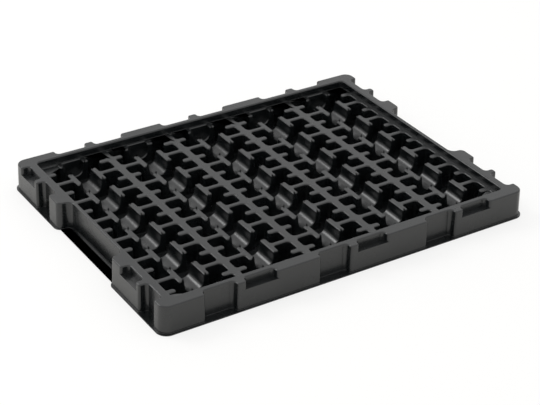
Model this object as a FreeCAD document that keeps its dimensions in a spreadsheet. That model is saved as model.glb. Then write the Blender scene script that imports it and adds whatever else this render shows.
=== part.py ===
"""Thermoformed plastic tray for 35 small parts: one drawn sheet of even wall.

The sheet is built as it is formed.  An outer shell (skirt, rim, flange) is
hollowed from below, a pan is sunk into it, then every pocket is first added
as a closed cup and opened afterwards, so that one wall thickness is left
everywhere.  Millimetres, +Z up, origin in the middle of the resting plane,
+X along the long side.
"""
import FreeCAD, Part
import math
import os

import Sketcher

V = FreeCAD.Vector

# ---------------------------------------------------------------- sizes
SIZES = {
    # overall
    "length": 400.0,          # flange, along X
    "width": 300.0,           # flange, along Y
    "height": 28.5,           # resting plane to rim
    "sheet": 1.2,             # wall of the formed sheet
    "lean": 1.5,              # draft of the upright walls, degrees
    "lip": 1.6,               # flange outside the foot of the skirt
    "corner": 9.0,            # upright corners of the skirt, at the rim
    # pan inside the rim
    "rim_side": 16.65,        # rim along the short sides
    "rim_end": 12.65,         # rim along the long sides
    "pan_depth": 7.3,         # rim down to the lands
    "pan_corner": 4.0,
    "end_step": 0.5,          # pan wall to the first and last cups
    # grid of cups
    "columns": 5,
    "rows": 7,
    "land": 8.3,              # bars along Y between two columns
    "neck": 5.4,              # web from a land to a T bar
    "bar_width": 6.0,         # T bar, across
    "bar_length": 24.5,       # T bar, along Y
    "channel": 19.4,          # clear way between two T bars
    "cradle_depth": 13.8,     # lands down to the cradle
    "cove": 8.0,              # round from the cradle up to a T bar
    "finger": 8.8,            # fingers that reach out of a land
    "finger_width": 6.5,
    "finger_tip": 2.0,        # flat cuts: finger ends
    "well_cut": 2.0,          # well corners
    # skirt, long sides: recess, rib and notch, in three groups
    "groups": 3,
    "end_block": 42.0,        # plain length before the first group
    "recess": 32.5,
    "rib": 9.3,
    "notch": 31.2,
    "notch_in": 7.1,          # how far they reach in
    "shelf_drop": 8.0,        # rim down to the shelf in a notch
    # skirt, short sides: recess, rib and notch at each end of a hand hold
    "side_block": 16.0,       # plain length before the first group
    "side_recess": 25.5,
    "side_rib": 7.0,
    "side_notch": 26.5,
    "side_in": 8.4,
    "shoulder": 20.5,         # plain length beside the hand hold
    "hand_in": 13.0,
    "hand_round": 6.4,
    "nose": 1.8,              # flat cuts: edges of ribs and blocks
    "throat": 2.2,            # roots of recesses and notches
}

doc = FreeCAD.newDocument("tray")
sheet = doc.addObject("Spreadsheet::Sheet", "sizes")
for line, (name, value) in enumerate(SIZES.items(), start=1):
    sheet.set("A%d" % line, name)
    sheet.set("B%d" % line, repr(value))
    sheet.setAlias("B%d" % line, name)
doc.recompute()

body = doc.addObject("PartDesign::Body", "tray")
body.Label = "tray"


class Size:
    """A length: its value now, and the expression that keeps it bound."""

    def __init__(self, value, text):
        self.value, self.text = float(value), text

    def join(self, sign, other, value):
        return Size(value, "(%s %s %s)" % (self.text, sign, other.text))

    def __add__(self, other):
        other = as_size(other)
        return self.join("+", other, self.value + other.value)

    def __sub__(self, other):
        other = as_size(other)
        return self.join("-", other, self.value - other.value)

    def __mul__(self, other):
        other = as_size(other)
        return self.join("*", other, self.value * other.value)

    def __truediv__(self, other):
        other = as_size(other)
        return self.join("/", other, self.value / other.value)

    def __neg__(self):
        return as_size(0) - self


class Cut(Size):
    """The leg of a flat cut across a corner, in place of its round."""

    def __init__(self, leg):
        super().__init__(leg.value, leg.text)


def as_size(number):
    return number if isinstance(number, Size) else Size(number, "%g" % number)


def size(name):
    return Size(SIZES[name], "sizes.%s" % name)


def drift(drop):
    """How far a leaning wall moves sideways over a drop."""
    tangent = Size(math.tan(math.radians(SIZES["lean"])), "tan(sizes.lean)")
    return drop * tangent


# ---------------------------------------------------------------- outlines
# An outline is a list of corners (x, y, round) that runs anticlockwise with its
# sides along X and Y in turn.  The round is a radius, a Cut or, where the
# corner stays sharp, None.

def box_outline(x0, x1, y0, y1, radius=None):
    return [(x0, y0, radius), (x1, y0, radius), (x1, y1, radius), (x0, y1, radius)]


def side_runs(corners):
    """Unit direction of the side that leaves each corner."""
    runs = []
    for here, there in zip(corners, corners[1:] + corners[:1]):
        dx = there[0].value - here[0].value
        dy = there[1].value - here[1].value
        runs.append((0, 1 if dy > 0 else -1) if abs(dx) < 1e-9
                    else (1 if dx > 0 else -1, 0))
    return runs


def offset_outline(corners, inward, rounds=True):
    """The same outline moved inward, or outward with a negative distance."""
    runs = side_runs(corners)
    moved = []
    for i, (x, y, radius) in enumerate(corners):
        before, after = runs[i - 1], runs[i]
        upright, level = (before, after) if before[0] == 0 else (after, before)
        x = x - inward if upright[1] > 0 else x + inward
        y = y + inward if level[0] > 0 else y - inward
        if radius is None or not rounds:
            moved.append((x, y, None))
            continue
        left_turn = before[0] * after[1] - before[1] * after[0] > 0
        radius = radius - inward if left_turn else radius + inward
        moved.append((x, y, radius if radius.value > 0.2 else None))
    return moved


def new_sketch(name, plane="XY_Plane", lift=None):
    sketch = body.newObject("Sketcher::SketchObject", name)
    sketch.AttachmentSupport = next(
        f for f in body.Origin.OriginFeatures if f.Role == plane)
    sketch.MapMode = "FlatFace"
    if lift is not None:
        sketch.setExpression("AttachmentOffset.Base.z", lift.text)
    return sketch


def draw(sketch, corners):
    """Draw an outline, every side and round bound to the sheet."""
    runs = side_runs(corners)
    points = [V(x.value, y.value, 0) for x, y, _ in corners]
    starts, ends = list(points), points[1:] + points[:1]
    rounds = {}
    for i, (x, y, radius) in enumerate(corners):
        if radius is None:
            continue
        before, after, r = V(*runs[i - 1], 0), V(*runs[i], 0), radius.value
        first, last = points[i] - before * r, points[i] + after * r
        starts[i], ends[i - 1] = last, first
        left_turn = before.cross(after).z > 0
        if isinstance(radius, Cut):
            rounds[i] = (Part.LineSegment(first, last), left_turn, last - first)
            continue
        centre = first + after * r
        ends_of_arc = (first, last) if left_turn else (last, first)
        angles = [math.atan2(p.y - centre.y, p.x - centre.x) for p in ends_of_arc]
        circle = Part.Circle(centre, V(0, 0, 1), r)
        rounds[i] = (Part.ArcOfCircle(circle, *angles), left_turn, None)

    first_line, offset = sketch.GeometryCount, sketch.ConstraintCount
    lines = [first_line + i for i in range(len(corners))]
    round_ids = {i: first_line + len(corners) + n for n, i in enumerate(rounds)}
    rules, bound = [], []

    def rule(*parts):
        rules.append(Sketcher.Constraint(*parts))

    def bind(length, *parts):
        bound.append((len(rules), length.text))
        rule(*parts, length.value)

    for i, line in enumerate(lines):
        x, y, radius = corners[i]
        upright = runs[i][0] == 0
        rule("Vertical" if upright else "Horizontal", line)
        bind(x if upright else y, "DistanceX" if upright else "DistanceY",
             -1, 1, line, 1)
        if i not in rounds:
            rule("Coincident", lines[i - 1], 2, line, 1)
            continue
        piece, (_, left_turn, span) = round_ids[i], rounds[i]
        if span is not None:
            rule("Coincident", lines[i - 1], 2, piece, 1)
            rule("Coincident", piece, 2, line, 1)
            for way, run in (("DistanceX", span.x), ("DistanceY", span.y)):
                bind(radius if run > 0 else -radius, way, piece, 1, piece, 2)
            continue
        head, tail = (1, 2) if left_turn else (2, 1)
        rule("Tangent", lines[i - 1], 2, piece, head)
        rule("Tangent", piece, tail, line, 1)
        bind(radius, "Radius", piece)

    sketch.addGeometry([Part.LineSegment(a, b) for a, b in zip(starts, ends)]
                       + [shape for shape, _, _ in rounds.values()])
    sketch.addConstraint(rules)
    for index, text in bound:
        sketch.setExpression("Constraints[%d]" % (offset + index), text)
    return sketch


# ---------------------------------------------------------------- features
def extrude(kind, name, outlines, lift, length, lean=0, downward=False, both=False,
            plane="XY_Plane"):
    """A pad or a pocket of some outlines, its length and draft tied to the sheet.

    lean is +1 where the form narrows away from the sketch and -1 where it
    widens; a pocket runs against the sketch's normal unless it is reversed.
    """
    sketch = new_sketch(name + "_outline", plane, lift)
    for outline in outlines:
        draw(sketch, outline)
    feature = body.newObject("PartDesign::" + kind, name)
    feature.Profile = sketch
    feature.setExpression("Length", length.text)
    feature.Reversed = downward if kind == "Pad" else not downward
    if both:
        feature.SideType = "Symmetric"
    if lean:
        feature.setExpression("TaperAngle", "%d * sizes.lean" % -lean)
    feature.Refine = False
    return feature


def spread(name, feature, columns, rows=None):
    """Repeat a feature along X, and along Y, from its first corner."""
    pattern = body.newObject("PartDesign::LinearPattern", name)
    pattern.Originals = [feature]
    for mark, role, step in (("", "X_Axis", columns), ("2", "Y_Axis", rows)):
        axis = next(f for f in body.Origin.OriginFeatures if f.Role == role)
        setattr(pattern, "Direction" + mark, (axis, [""]))
        if step is None:
            setattr(pattern, "Occurrences" + mark, 1)
            continue
        number, pitch = step
        pattern.setExpression("Occurrences" + mark, number.text)
        pattern.setExpression("Length" + mark, (pitch * (number - 1)).text)
    pattern.Refine = False
    body.Tip = pattern
    return pattern


wall = size("sheet")
height = size("height")
land_top = height - size("pan_depth")
cradle = land_top - size("cradle_depth")
# half lengths of the skirt, at the rim
rim_x = size("length") / 2 - size("lip") - drift(height)
rim_y = size("width") / 2 - size("lip") - drift(height)
pan_x = rim_x - size("rim_side")
pan_y = rim_y - size("rim_end")
nose, throat = Cut(size("nose")), Cut(size("throat"))




# ---------------------------------------------------------------- skirt
def both_ends(outline):
    """An outline and its mirror image across the X axis."""
    return [outline, [(x, -y, r) for x, y, r in reversed(outline)]]


def both_sides(outlines):
    """Outlines and their mirror images across the Y axis."""
    return outlines + [[(-x, y, r) for x, y, r in reversed(o)] for o in outlines]


def mouth(start, stop, face, depth, bend=nose, root=throat, far=None):
    """A void cut into a side whose face lies at -face on the second axis.

    It flares round both noses and runs out past the flange.
    """
    out, deep = -face, -face + depth
    far = far or out - size("lip") * 6
    left, right = start - bend * 1.5, stop + bend * 1.5
    return [(left, far, None), (right, far, None), (right, out, None),
            (stop, out, bend), (stop, deep, root), (start, deep, root),
            (start, out, bend), (left, out, None)]


def backing(start, stop, face, depth, bend=nose, root=throat, reach=wall):
    """The block that such a void is opened in: one wall larger all round."""
    grown = 2 - math.sqrt(2) if isinstance(bend, Cut) else 1
    kind = Cut if isinstance(bend, Cut) else (lambda radius: radius)
    return mouth(start - wall, stop + wall, face - wall, depth,
                 kind(bend - wall * grown), kind(root + wall * grown),
                 far=-face - reach)


def turned(outline):
    """A quarter turn that takes the -Y side to the +X side."""
    return [(-y, x, r) for x, y, r in outline]


group = size("recess") + size("rib") + size("notch")
group_pitch = (rim_x * 2 - size("end_block") * 2 - group) / (size("groups") - 1)
recess_x = -rim_x + size("end_block")
notch_x = recess_x + size("recess") + size("rib")
side_group = size("side_recess") + size("side_rib") + size("side_notch")
side_starts = (-rim_y + size("side_block"), rim_y - size("side_block") - side_group)
hand_y = rim_y - size("side_block") - side_group - size("shoulder")

long_recess = (recess_x, recess_x + size("recess"), rim_y, size("notch_in"))
long_notch = (notch_x, notch_x + size("notch"), rim_y, size("notch_in"))
side_recesses, side_notches = [], []
for start in side_starts:
    stop = start + size("side_recess")
    side_recesses.append((start, stop, rim_x, size("side_in")))
    start = stop + size("side_rib")
    side_notches.append((start, start + size("side_notch"), rim_x, size("side_in")))
hand = (-hand_y, hand_y, rim_x, size("hand_in"),
        size("hand_round"), size("hand_round"))

x, y, bend = size("length") / 2, size("width") / 2, size("hand_round")
flange_x = x - size("hand_in")
flange_side = [(x, -hand_y, bend), (flange_x, -hand_y, bend),
               (flange_x, hand_y, bend), (x, hand_y, bend)]
plate = box_outline(-x, x, -y, y, size("corner") + size("lip"))
plate[2:2] = flange_side
plate += both_sides([flange_side])[1]
rim = box_outline(-rim_x, rim_x, -rim_y, rim_y, size("corner"))
pan = box_outline(-pan_x, pan_x, -pan_y, pan_y, size("pan_corner"))

extrude("Pad", "skirt", [rim], height, height, lean=-1, downward=True)
extrude("Pocket", "hollow", [offset_outline(rim, wall - drift(wall))],
        height - wall, height - wall, lean=-1, downward=True)

# walls round the pan, the recesses, the hand holds and the notches
extrude("Pad", "pan_wall", [offset_outline(pan, -wall)], height,
        size("pan_depth") + wall, lean=1, downward=True)
extrude("Pad", "side_walls",
        both_sides([turned(backing(*spot)) for spot in side_recesses]
                   + [turned(backing(*hand))]),
        height, height, lean=1, downward=True)
extrude("Pad", "side_shelves",
        both_sides([turned(backing(*spot, reach=-wall / 4)) for spot in side_notches]),
        height, size("shelf_drop") + wall, lean=1, downward=True)
recess_wall = extrude("Pad", "recess_wall", both_ends(backing(*long_recess)),
                      height, height, lean=1, downward=True)
spread("recess_walls", recess_wall, (size("groups"), group_pitch))
shelf = extrude("Pad", "notch_shelf", both_ends(backing(*long_notch, reach=-wall / 4)),
                height, size("shelf_drop") + wall, lean=1, downward=True)
spread("notch_shelves", shelf, (size("groups"), group_pitch))

# and the same places opened
extrude("Pocket", "pan", [pan], height, size("pan_depth"), lean=1, downward=True)
extrude("Pocket", "side_recesses",
        both_sides([turned(mouth(*spot)) for spot in side_recesses]),
        height, height - wall, lean=1, downward=True)
extrude("Pocket", "hand_holds", both_sides([turned(mouth(*hand))]),
        height, height, lean=1, downward=True)
extrude("Pocket", "side_notches",
        both_sides([turned(mouth(*spot)) for spot in side_notches]),
        height, size("shelf_drop"), lean=1, downward=True)
recess = extrude("Pocket", "recess", both_ends(mouth(*long_recess)),
                 height, height - wall, lean=1, downward=True)
spread("recesses", recess, (size("groups"), group_pitch))
notch = extrude("Pocket", "notch", both_ends(mouth(*long_notch)),
                height, size("shelf_drop"), lean=1, downward=True)
spread("notches", notch, (size("groups"), group_pitch))

# the flange closes the foot, from its edge to the middle of the skirt's wall
extrude("Pad", "flange", [plate, offset_outline(plate, size("lip") + wall / 2)],
        None, wall)


# ---------------------------------------------------------------- cups
row_pitch = (pan_y * 2 - size("end_step") * 2 + size("neck")) / size("rows")
column_pitch = pan_x * 2 / size("columns")
first_x = column_pitch * (SIZES["columns"] - 1) / -2
first_y = row_pitch * (SIZES["rows"] - 1) / -2
grid = ((size("columns"), column_pitch), (size("rows"), row_pitch))


def cup_outline():
    """Two wells and the trough that joins them, round four T bar ends."""
    inner = size("channel") / 2 + size("bar_width")
    outer = column_pitch / 2 - size("land") / 2
    high = row_pitch / 2 - size("neck") / 2
    gap = row_pitch / 2 - size("bar_length") / 2
    tip, half = outer - size("finger"), size("finger_width") / 2
    well, fingertip = Cut(size("well_cut")), Cut(size("finger_tip"))
    right = [(inner, -gap, None), (inner, -high, None), (outer, -high, well),
             (outer, -half, None), (tip, -half, fingertip),
             (tip, half, fingertip), (outer, half, None),
             (outer, high, well), (inner, high, None), (inner, gap, None)]
    left = [(-x, y, r) for x, y, r in reversed(right)]
    return [(first_x + x, first_y + y, r) for x, y, r in right + left]


def channel_outline(grown, cove):
    """Section of the channel between two columns of T bars."""
    half, low = size("channel") / 2 + grown, cradle - grown
    return [(first_x - half, low, cove), (first_x + half, low, cove),
            (first_x + half, land_top, None), (first_x - half, land_top, None)]


cup = cup_outline()
facet = 2 - math.sqrt(2)     # leg of a flat cut that touches its round
channel_length = row_pitch * size("rows") - size("neck")
cup_wall = extrude("Pad", "cup_wall", [offset_outline(cup, -wall, rounds=False)],
                   land_top, land_top, downward=True)
spread("cup_walls", cup_wall, *grid)
trough_wall = extrude("Pad", "channel_wall", 
                      [channel_outline(wall, Cut((size("cove") + wall) * facet))], None,
                      channel_length + wall * 2, plane="XZ_Plane", both=True)
spread("channel_walls", trough_wall, grid[0])
cup_void = extrude("Pocket", "cup", [cup], land_top, land_top - wall, downward=True)
spread("cups", cup_void, *grid)
trough = extrude("Pocket", "channel", [channel_outline(as_size(0), size("cove"))],
                 None, channel_length,
                 plane="XZ_Plane", both=True)
spread("channels", trough, grid[0])



# ---------------------------------------------------------------- check, write
doc.recompute()
failed = [o.Name for o in doc.Objects if "Invalid" in o.State or "Error" in o.State]
if failed:
    raise SystemExit("not built: " + ", ".join(failed))
if body.Shape.isNull() or not body.Shape.isValid() or len(body.Shape.Solids) != 1:
    raise SystemExit("tray is not one valid solid")

os.makedirs("parts", exist_ok=True)
body.Shape.exportStep("parts/%s.step" % body.Label)
box = body.Shape.BoundBox
print("tray %.1f x %.1f x %.1f mm, %.0f cm3"
      % (box.XLength, box.YLength, box.ZLength, body.Shape.Volume / 1000))
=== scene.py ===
"""Visible skin of a black thermoformed tray for 35 small parts.

The tray is made as a former makes it: a flat plan is marked out into fields, the
fields are drawn up one after another with the walls leaning, every fold is rounded,
and the sheet then gets its thickness.  Sizes are millimetres until the very end.
"""

import math

import bmesh
import bpy
from mathutils import Matrix, Vector


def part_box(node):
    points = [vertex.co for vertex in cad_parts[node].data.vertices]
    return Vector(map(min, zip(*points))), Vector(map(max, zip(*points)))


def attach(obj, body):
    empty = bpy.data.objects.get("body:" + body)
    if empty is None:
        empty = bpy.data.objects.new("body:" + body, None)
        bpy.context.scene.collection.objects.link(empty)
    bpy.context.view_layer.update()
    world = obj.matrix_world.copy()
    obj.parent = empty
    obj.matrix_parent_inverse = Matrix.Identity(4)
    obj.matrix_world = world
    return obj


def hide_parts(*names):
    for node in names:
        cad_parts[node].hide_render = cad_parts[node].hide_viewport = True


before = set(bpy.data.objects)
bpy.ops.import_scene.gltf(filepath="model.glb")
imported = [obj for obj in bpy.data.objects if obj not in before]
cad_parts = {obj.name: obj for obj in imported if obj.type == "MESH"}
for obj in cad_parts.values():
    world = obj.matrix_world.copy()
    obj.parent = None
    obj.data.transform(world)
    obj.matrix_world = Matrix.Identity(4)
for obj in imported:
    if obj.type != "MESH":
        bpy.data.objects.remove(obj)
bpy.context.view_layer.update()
cad_low, cad_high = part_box("tray")

# ---------------------------------------------------------------- sizes, in mm
LENGTH, WIDTH, HEIGHT = ((cad_high[i] - cad_low[i]) * 1000 for i in range(3))
SHEET = 1.2
LEAN = math.tan(math.radians(1.5))
LIP = 1.6                    # flange outside the foot of the skirt
CORNER = 9.0

COLUMNS, ROWS = 5, 7
RIM_SIDE, RIM_END = 16.65, 12.65
PAN_DEPTH, CRADLE_DEPTH, SHELF_DROP = 7.3, 13.8, 8.0
END_STEP = 0.5
LEDGE = 2.2                  # at the height of the lands, along the pan's long walls
LAND, NECK = 8.3, 5.4
BAR_WIDTH, BAR_LENGTH = 6.0, 24.5
CHANNEL, COVE = 19.4, 8.0
FINGER, FINGER_WIDTH = 8.8, 6.5
PAN_CORNER = 4.0
TIP_ROUND, HEEL_ROUND, NECK_ROUND = 3.0, 1.5, 3.2     # upright corners of the lands
BAR_ROUND, BAR_END_ROUND = 2.0, 2.2
RIM_FOLD, FOLD, ROOT_FOLD = 1.4, 1.2, 0.6             # where the sheet bends over
JOIN = 0.01                  # points nearer than this are one

# heights of the fields
BASE = SHEET
RIM_TOP = HEIGHT
LAND_TOP = HEIGHT - PAN_DEPTH
SHELF_TOP = HEIGHT - SHELF_DROP
CRADLE_TOP = LAND_TOP - CRADLE_DEPTH
BROW = CRADLE_TOP + COVE     # where a cove has turned upright

# half sizes
RIM_X = LENGTH / 2 - LIP - HEIGHT * LEAN
RIM_Y = WIDTH / 2 - LIP - HEIGHT * LEAN
PAN_X, PAN_Y = RIM_X - RIM_SIDE, RIM_Y - RIM_END
COLUMN_PITCH = 2 * PAN_X / COLUMNS
ROW_PITCH = (2 * (PAN_Y - END_STEP) + NECK) / ROWS


def grown(top, height):
    """How much wider a drawn-up field is at its foot than at a height above it."""
    return (top - height) * LEAN


FOOT = grown(RIM_TOP, BASE)          # skirt: rim to plan
HALF = grown(LAND_TOP, BASE) / 2     # cups: their sizes hold at half height
FOOT_X, FOOT_Y = RIM_X + FOOT, RIM_Y + FOOT
SHELF_FOOT = grown(RIM_TOP, SHELF_TOP)
PAN_FOOT = grown(RIM_TOP, LAND_TOP)
FIELD_X, FIELD_Y = PAN_X - PAN_FOOT, PAN_Y - PAN_FOOT

# fields of the plan, kept as each face's material number until the end
FLANGE, FLOOR, CRADLE, LANDS, SHELF, RIM, WALL = range(7)


# ---------------------------------------------------------------- plan of the cups
def cove_lines(steps):
    """Distances from the middle of a channel at which its section turns."""
    flat = CHANNEL / 2 - COVE
    return [flat + COVE * math.sin(math.pi / 2 * i / steps) for i in range(steps + 1)]


def cradle_height(off):
    flat = CHANNEL / 2 - COVE
    rise = max(0.0, abs(off) - flat)
    return CRADLE_TOP + COVE - math.sqrt(max(0.0, COVE ** 2 - rise ** 2))


BAR_OUT = CHANNEL / 2 + BAR_WIDTH + HALF
TIP = COLUMN_PITCH / 2 - LAND / 2 - FINGER - HALF
LAND_SIDE = COLUMN_PITCH / 2 - LAND / 2 - HALF
FINGER_SIDE = FINGER_WIDTH / 2 + HALF
BAR_END = ROW_PITCH / 2 - BAR_LENGTH / 2 - HALF
NECK_SIDE = ROW_PITCH / 2 - NECK / 2 - HALF


def spread_lines(offsets, pitch, count, edge):
    """The same lines either side of every centre, and the plan's two edges."""
    lines = {-edge, edge}
    for i in range(count):
        centre = (i - (count - 1) / 2) * pitch
        for off in offsets:
            for line in (centre + off, centre - off):
                if abs(line) < edge - 0.01:
                    lines.add(round(line, 6))
    return sorted(lines)


def from_centre(place, pitch, count):
    """Signed distance from the nearest of the repeated centres, and its number."""
    number = round(place / pitch + (count - 1) / 2)
    number = min(max(number, 0), count - 1)
    return place - (number - (count - 1) / 2) * pitch, number


def field_at(x, y):
    u = abs(from_centre(x, COLUMN_PITCH, COLUMNS)[0])
    v = abs(from_centre(y, ROW_PITCH, ROWS)[0])
    if abs(y) > FIELD_Y - LEDGE:
        return LANDS
    if u < CHANNEL / 2:
        return CRADLE if v > BAR_END else FLOOR
    bar = u < BAR_OUT and v > BAR_END
    finger = u > TIP and v < FINGER_SIDE
    return LANDS if bar or finger or u > LAND_SIDE or v > NECK_SIDE else FLOOR


def quarter_at(x, y):
    """Which quarter of which cup a place lies in."""
    u, column = from_centre(x, COLUMN_PITCH, COLUMNS)
    v, row = from_centre(y, ROW_PITCH, ROWS)
    return column, row, u > 0, v > 0


def level(edge):
    a, b = edge.verts
    return abs(a.co.y - b.co.y) < 1e-4


def tidy_corners(bm):
    """Removes points that lie within a straight side."""
    loose = []
    for v in bm.verts:
        if len(v.link_edges) == 2:
            a, b = (e.other_vert(v).co - v.co for e in v.link_edges)
            if a.angle(b) > math.pi - 0.001:
                loose.append(v)
    bmesh.ops.dissolve_verts(bm, verts=loose)


def plan_of_cups(bm, cove_steps):
    """A grid whose quads are fields, joined within each quarter of a cup."""
    across = [0.0, *cove_lines(cove_steps), BAR_OUT, TIP, LAND_SIDE, COLUMN_PITCH / 2]
    along = [0.0, FINGER_SIDE, BAR_END, NECK_SIDE, ROW_PITCH / 2]
    xs = spread_lines(across, COLUMN_PITCH, COLUMNS, FIELD_X)
    ys = [y for y in spread_lines(along, ROW_PITCH, ROWS, FIELD_Y)
          if abs(y) < FIELD_Y - LEDGE - 0.1 or abs(y) == FIELD_Y]
    ys = sorted([*ys, FIELD_Y - LEDGE, LEDGE - FIELD_Y])
    bmesh.ops.create_grid(bm, x_segments=len(xs) - 1, y_segments=len(ys) - 1, size=0.5)
    for v in bm.verts:
        v.co = (xs[round((v.co.x + 0.5) * (len(xs) - 1))],
                ys[round((v.co.y + 0.5) * (len(ys) - 1))], 0)
    where = {}
    for f in bm.faces:
        middle = f.calc_center_median()
        f.material_index = field_at(middle.x, middle.y)
        where[f] = quarter_at(middle.x, middle.y)
    inner = []
    for e in bm.edges:
        if len(e.link_faces) == 2:
            a, b = e.link_faces
            if a.material_index == b.material_index and where[a] == where[b]:
                if a.material_index != CRADLE or level(e):
                    inner.append(e)
    bmesh.ops.dissolve_edges(bm, edges=inner, use_verts=False)
    tidy_corners(bm)


# ---------------------------------------------------------------- plan of the skirt
NOSE, THROAT, BEND = 2.8, 3.2, 6.4
END_BLOCK, RECESS, RIB, NOTCH, REACH = 42.0, 32.5, 9.3, 31.2, 7.1
SIDE_BLOCK, SIDE_RECESS, SIDE_RIB, SIDE_NOTCH, SIDE_REACH = 16.0, 25.5, 7.0, 26.5, 8.4
SHOULDER, HAND_REACH = 20.5, 13.0

long_group = RECESS + RIB + NOTCH
long_pitch = (2 * RIM_X - 2 * END_BLOCK - long_group) / 2
side_group = SIDE_RECESS + SIDE_RIB + SIDE_NOTCH
hand = RIM_Y - SIDE_BLOCK - side_group - SHOULDER

# every dip of a side: where it starts and stops, how far it reaches in, and
# whether it goes down to the flange or ends on a shelf
LONG_DIPS, SIDE_DIPS = [], []
for i in range(3):
    start = -RIM_X + END_BLOCK + i * long_pitch
    LONG_DIPS.append((start, start + RECESS, REACH, FLANGE))
    LONG_DIPS.append((start + RECESS + RIB, start + long_group, REACH, SHELF))
for start in (-RIM_Y + SIDE_BLOCK, RIM_Y - SIDE_BLOCK - side_group):
    SIDE_DIPS.append((start, start + SIDE_RECESS, SIDE_REACH, FLANGE))
    SIDE_DIPS.append((start + SIDE_RECESS + SIDE_RIB, start + side_group, SIDE_REACH,
                      SHELF))
SIDE_DIPS.insert(2, (-hand, hand, HAND_REACH, FLANGE))


def side_paths(dips, face, place):
    """Rim path, flange path and shelves of one side, in the side's own direction."""
    rim, flange, shelves = [], [], []
    shelf_face = face - grown(SHELF_TOP, BASE)
    for start, stop, reach, kind in dips:
        left, right = start + FOOT, stop - FOOT
        deep = face - reach
        if kind == FLANGE:
            bend, root = (BEND, BEND) if reach == HAND_REACH else (NOSE, THROAT)
            dip = [(place(left, face), bend), (place(left, deep), root),
                   (place(right, deep), root), (place(right, face), bend)]
            rim += dip
            flange += dip
            continue
        left, right = start + SHELF_FOOT, stop - SHELF_FOOT
        deep = shelf_face - reach
        first, last = (place(left - NOSE, face), 0), (place(right + NOSE, face), 0)
        dip = [(place(left - NOSE, shelf_face), 0), (place(left, shelf_face), NOSE),
               (place(left, deep), THROAT), (place(right, deep), THROAT),
               (place(right, shelf_face), NOSE), (place(right + NOSE, shelf_face), 0)]
        rim += [first, *dip, last]
        flange += [first, last]
        shelves.append([first, last, *reversed(dip)])
    return rim, flange, shelves


def front(s, d):
    return s, -d


def back(s, d):
    return s, d


def left_side(s, d):
    return -d, s


def right_side(s, d):
    return d, s


def ring(corner, front_path, right_path, back_path, left_path):
    """The right and the left half of a closed path, both from front to back."""
    x, y, radius = corner
    cut = next(i for i, (p, _) in enumerate(front_path) if p[0] > 0)
    far = next(i for i, (p, _) in enumerate(back_path) if p[0] > 0)
    right = ([((0, -y), 0), *front_path[cut:], ((x, -y), radius), *right_path,
              ((x, y), radius), *reversed(back_path[far:]), ((0, y), 0)])
    left = ([((0, -y), 0), *reversed(front_path[:cut]), ((-x, -y), radius), *left_path,
             ((-x, y), radius), *back_path[:far], ((0, y), 0)])
    return right, left


def add_field(bm, corners, kind, rounds):
    face = bm.faces.new([bm.verts.new((*place, 0)) for place, _ in corners])
    face.normal_update()
    if face.normal.z < 0:
        face.normal_flip()
    face.material_index = kind
    for place, radius in corners:
        if radius:
            rounds.setdefault(radius, []).append(Vector((*place, 0)))


def plan_of_skirt(bm, rounds):
    sides = {}
    for name, dips, face, place in (
            ("front", LONG_DIPS, FOOT_Y, front), ("right", SIDE_DIPS, FOOT_X, right_side),
            ("back", LONG_DIPS, FOOT_Y, back), ("left", SIDE_DIPS, FOOT_X, left_side)):
        sides[name] = side_paths(dips, face, place)
    order = ("front", "right", "back", "left")
    corner = (FOOT_X, FOOT_Y, CORNER + FOOT)
    rim_halves = ring(corner, *(sides[name][0] for name in order))
    foot_halves = ring(corner, *(sides[name][1] for name in order))

    # the pan's edge has a point wherever two quarters of cups meet
    xs = spread_lines([0.0, COLUMN_PITCH / 2], COLUMN_PITCH, COLUMNS, FIELD_X)
    ys = spread_lines([0.0, ROW_PITCH / 2], ROW_PITCH, ROWS, FIELD_Y)
    mid = [x for x in xs if 0 <= x < FIELD_X - 0.01]
    pan_half = ([((x, -FIELD_Y), 0) for x in mid] + [((FIELD_X, y), 0) for y in ys]
                + [((x, FIELD_Y), 0) for x in reversed(mid)])
    deep = LENGTH / 2 - HAND_REACH
    edge = [((deep, -hand), BEND), ((deep, hand), BEND)]
    plate_half = ([((0, -WIDTH / 2), 0), ((LENGTH / 2, -WIDTH / 2), CORNER + LIP),
                   ((LENGTH / 2, -hand), BEND), *edge, ((LENGTH / 2, hand), BEND),
                   ((LENGTH / 2, WIDTH / 2), CORNER + LIP), ((0, WIDTH / 2), 0)])
    for side, rim_half, foot_half in ((1, rim_halves[0], foot_halves[0]),
                                      (-1, rim_halves[1], foot_halves[1])):
        pan = [((x * side, y), r) for (x, y), r in pan_half]
        plate = [((x * side, y), r) for (x, y), r in plate_half]
        add_field(bm, rim_half + pan[::-1], RIM, rounds)
        add_field(bm, plate + foot_half[::-1], FLANGE, rounds)
    for name in order:
        for shelf in sides[name][2]:
            add_field(bm, shelf, SHELF, rounds)
    rounds.setdefault(PAN_CORNER, []).extend(
        Vector((sx * FIELD_X, sy * FIELD_Y, 0)) for sx in (-1, 1) for sy in (-1, 1))


# ---------------------------------------------------------------- drawing up
def round_corners(bm, places, radius, segments):
    """Rounds the plan's upright corners that lie at some places."""
    wanted = {(round(p.x, 1), round(p.y, 1)) for p in places}
    corners = [v for v in bm.verts if (round(v.co.x, 1), round(v.co.y, 1)) in wanted]
    bmesh.ops.bevel(bm, geom=corners, offset=radius, offset_type="OFFSET",
                    segments=segments, profile=0.5, affect="VERTICES",
                    clamp_overlap=True, material=-1)


def draw_up(bm, lift, kinds, low, high):
    """Raises some fields; their walls lean, so the fields shrink a little."""
    fields = [f for f in bm.faces if f.material_index in kinds]
    made = bmesh.ops.inset_region(bm, faces=fields, thickness=(high - low) * LEAN,
                                  depth=0, use_boundary=True, use_even_offset=True)
    for f in made["faces"]:
        f.material_index = WALL
    for f in fields:
        for v in f.verts:
            v[lift] = high


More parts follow.
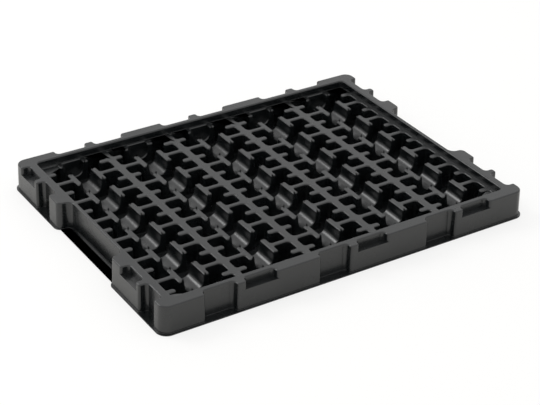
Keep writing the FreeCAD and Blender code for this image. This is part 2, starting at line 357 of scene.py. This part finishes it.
def tray_skin(cove_steps=6):
    bm = bmesh.new()
    rounds = {}
    plan_of_cups(bm, cove_steps)
    plan_of_skirt(bm, rounds)
    bmesh.ops.remove_doubles(bm, verts=bm.verts[:], dist=JOIN)

    for column in range(COLUMNS):
        for row in range(ROWS):
            x = (column - (COLUMNS - 1) / 2) * COLUMN_PITCH
            y = (row - (ROWS - 1) / 2) * ROW_PITCH
            for sx in (-1, 1):
                for sy in (-1, 1):
                    for u, v, radius in ((TIP, FINGER_SIDE, TIP_ROUND),
                                         (LAND_SIDE, FINGER_SIDE, HEEL_ROUND),
                                         (LAND_SIDE, NECK_SIDE, NECK_ROUND),
                                         (BAR_OUT, NECK_SIDE, BAR_ROUND),
                                         (BAR_OUT, BAR_END, BAR_END_ROUND)):
                        place = Vector((x + sx * u, y + sy * v, 0))
                        rounds.setdefault(radius, []).append(place)
    for radius, places in rounds.items():
        segments = 3 if radius < 2.5 else 4 if radius < 5 else 8
        round_corners(bm, places, radius, segments)
    bmesh.ops.remove_doubles(bm, verts=bm.verts[:], dist=JOIN)

    lift = bm.verts.layers.float.new("lift")
    for v in bm.verts:
        v[lift] = BASE
    draw_up(bm, lift, (CRADLE, LANDS, SHELF, RIM), BASE, BROW)
    for f in bm.faces:
        if f.material_index == CRADLE:
            for v in f.verts:
                off = from_centre(v.co.x, COLUMN_PITCH, COLUMNS)[0]
                v[lift] = cradle_height(off)
    draw_up(bm, lift, (LANDS, SHELF, RIM), BROW, SHELF_TOP)
    bmesh.ops.remove_doubles(bm, verts=bm.verts[:], dist=JOIN / 2)
    draw_up(bm, lift, (LANDS, RIM), SHELF_TOP, LAND_TOP)
    draw_up(bm, lift, (RIM,), LAND_TOP, RIM_TOP)
    for v in bm.verts:
        v.co.z = v[lift]
    return bm


# ---------------------------------------------------------------- folds
BENT, CREASED = math.radians(50), math.radians(40)


def turn(edge):
    """Angle between the two faces of an edge."""
    return edge.calc_face_angle(0.0)


def join_wall_rows(bm):
    """A wall that was drawn up in steps becomes one field again."""
    rings = [e for e in bm.edges if len(e.link_faces) == 2
             and all(f.material_index == WALL for f in e.link_faces)
             and abs(e.verts[0].co.z - e.verts[1].co.z) < 1e-3 and turn(e) < 0.03]
    bmesh.ops.dissolve_edges(bm, edges=rings, use_verts=False)
    tidy_corners(bm)


def round_folds(bm, edges, radius, segments):
    return bmesh.ops.bevel(bm, geom=edges, offset=radius, offset_type="OFFSET",
                           segments=segments, profile=0.5, affect="EDGES",
                           clamp_overlap=False, loop_slide=True, material=-1)


def folds_between(bm, kinds, bulging):
    found = []
    for e in bm.edges:
        if len(e.link_faces) == 2 and turn(e) > BENT:
            pair = {f.material_index for f in e.link_faces}
            if pair in kinds and e.is_convex == bulging:
                found.append(e)
    return found


def round_all_folds(bm):
    bm.normal_update()
    round_folds(bm, folds_between(bm, ({RIM, WALL},), True), RIM_FOLD, 3)
    edges = folds_between(bm, ({LANDS, WALL}, {CRADLE, WALL}, {WALL}), True)
    round_folds(bm, [e for e in edges if max(v.co.z for v in e.verts) < LAND_TOP + 0.1],
                FOLD, 3)
    bm.normal_update()
    edges = folds_between(bm, ({FLOOR, WALL}, {FLANGE, WALL}), False)
    edges += [e for e in folds_between(bm, ({LANDS, WALL},), False)
              if abs(e.verts[0].co.z - LAND_TOP) < 0.01]
    round_folds(bm, edges, ROOT_FOLD, 2)
    bm.normal_update()
    for e in bm.edges:
        e.smooth = turn(e) < CREASED
    for f in bm.faces:
        f.smooth = True
        f.material_index = 0


skin = tray_skin()
join_wall_rows(skin)
round_all_folds(skin)
mesh = bpy.data.meshes.new("tray_sheet")
bmesh.ops.scale(skin, vec=(0.001,) * 3, verts=skin.verts[:])
skin.to_mesh(mesh)
skin.free()
tray = bpy.data.objects.new("tray_sheet", mesh)
bpy.context.collection.objects.link(tray)
thick = tray.modifiers.new("sheet", "SOLIDIFY")
thick.thickness, thick.offset = SHEET / 1000, -1
even = tray.modifiers.new("flats", "WEIGHTED_NORMAL")
even.keep_sharp, even.weight = True, 50
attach(tray, "root")
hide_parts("tray")


# ---------------------------------------------------------------- finishes
def colour(text):
    """An sRGB hex colour as the linear values that a shader takes."""
    parts = [int(text[i:i + 2], 16) / 255 for i in (1, 3, 5)]
    return (*(p / 12.92 if p < 0.04045 else ((p + 0.055) / 1.055) ** 2.4
              for p in parts), 1)


def add(tree, kind, settings=(), links=()):
    """A node, its settings and sockets, and the links that feed it."""
    node = tree.nodes.new(kind)
    for name, value in dict(settings).items():
        if name in node.inputs:
            node.inputs[name].default_value = value
        else:
            setattr(node, name, value)
    for name, source in dict(links).items():
        tree.links.new(source, node.inputs[name])
    return node


def new_material(name):
    made = bpy.data.materials.new(name)
    made.use_nodes = True
    made.node_tree.nodes.clear()
    return made, made.node_tree


def moulded_polystyrene():
    """Black high-impact polystyrene, vacuum formed.

    The side that faced the air keeps the satin of the rolled sheet: a fine grain of
    about 0.4 mm, drawn coarser here than it is, and slow waves where the sheet
    thinned over the tool.
    """
    made, tree = new_material("formed_black_polystyrene")
    place = add(tree, "ShaderNodeTexCoord").outputs["Object"]
    grain = add(tree, "ShaderNodeTexNoise", {"Scale": 1600, "Detail": 3.0},
                {"Vector": place}).outputs["Fac"]
    waves = add(tree, "ShaderNodeTexNoise", {"Scale": 45, "Detail": 2.0},
                {"Vector": place}).outputs["Fac"]
    rough = add(tree, "ShaderNodeMapRange", {"To Min": 0.20, "To Max": 0.32},
                {"Value": waves}).outputs["Result"]
    fine = add(tree, "ShaderNodeBump", {"Strength": 0.12, "Distance": 0.0003},
               {"Height": grain}).outputs["Normal"]
    slow = add(tree, "ShaderNodeBump", {"Strength": 0.10, "Distance": 0.002},
               {"Height": waves, "Normal": fine}).outputs["Normal"]
    tint = add(tree, "ShaderNodeMix", {"data_type": "RGBA"}, {"Factor": waves})
    tint.inputs["A"].default_value = colour("#0b0d0e")
    tint.inputs["B"].default_value = colour("#101314")
    plastic = add(tree, "ShaderNodeBsdfPrincipled", {"IOR": 1.59},
                  {"Base Color": tint.outputs["Result"], "Roughness": rough,
                   "Normal": slow})
    add(tree, "ShaderNodeOutputMaterial", (), {"Surface": plastic.outputs["BSDF"]})
    return made


mesh.materials.append(moulded_polystyrene())


# ---------------------------------------------------------------- studio
PLAIN_WHITE = 0.72           # share of the floor that the eye sees as plain white


def pale_floor():
    """Matt white: plain white to the eye, with the tray's shadow left on it."""
    made, tree = new_material("white_floor")
    matt = add(tree, "ShaderNodeBsdfDiffuse", {"Color": colour("#f4f3f0")})
    white = add(tree, "ShaderNodeEmission", {"Color": (1, 1, 1, 1), "Strength": 1.0})
    path = add(tree, "ShaderNodeLightPath").outputs["Is Camera Ray"]
    share = add(tree, "ShaderNodeMath", {"operation": "MULTIPLY"}, {0: path})
    share.inputs[1].default_value = PLAIN_WHITE
    mixed = add(tree, "ShaderNodeMixShader", (), {
        0: share.outputs[0], 1: matt.outputs[0], 2: white.outputs[0]})
    add(tree, "ShaderNodeOutputMaterial", (), {"Surface": mixed.outputs[0]})
    return made


ground = bmesh.new()
bmesh.ops.create_grid(ground, x_segments=1, y_segments=1, size=6.0)
floor_mesh = bpy.data.meshes.new("floor")
ground.to_mesh(floor_mesh)
ground.free()
floor = bpy.data.objects.new("floor", floor_mesh)
floor.location.z = -0.0002
floor_mesh.materials.append(pale_floor())
bpy.context.collection.objects.link(floor)

world = bpy.data.worlds.new("studio")
bpy.context.scene.world = world
world.use_nodes = True
sky = world.node_tree.nodes["Background"]
sky.inputs["Color"].default_value = colour("#ffffff")
sky.inputs["Strength"].default_value = 1.0


def soft_lamp(name, place, aim, size, power):
    lamp = bpy.data.lights.new(name, "AREA")
    lamp.shape, lamp.size, lamp.energy = "DISK", size, power
    made = bpy.data.objects.new(name, lamp)
    made.location = place
    made.rotation_euler = (Vector(aim) - Vector(place)).to_track_quat(
        "-Z", "Y").to_euler()
    bpy.context.collection.objects.link(made)


soft_lamp("back_left_softbox", (-0.9, 1.1, 1.3), (0, 0, 0), 0.8, 9.0)

bpy.context.scene.view_settings.view_transform = "Standard"
camera = bpy.data.cameras.new("camera")
camera.lens, camera.sensor_width = 105.7, 36.0
eye = bpy.data.objects.new("camera", camera)
right, down, ahead = (Vector(row) for row in (
    (0.84401, -0.53592, 0.02116), (-0.25723, -0.43909, -0.86083),
    (0.47062, 0.72111, -0.50845)))
turned = Matrix((right, -down, -ahead)).transposed().to_4x4()
eye.matrix_world = Matrix.Translation((-0.7249, -1.1168, 0.7845)) @ turned
bpy.context.collection.objects.link(eye)
bpy.context.scene.camera = eye
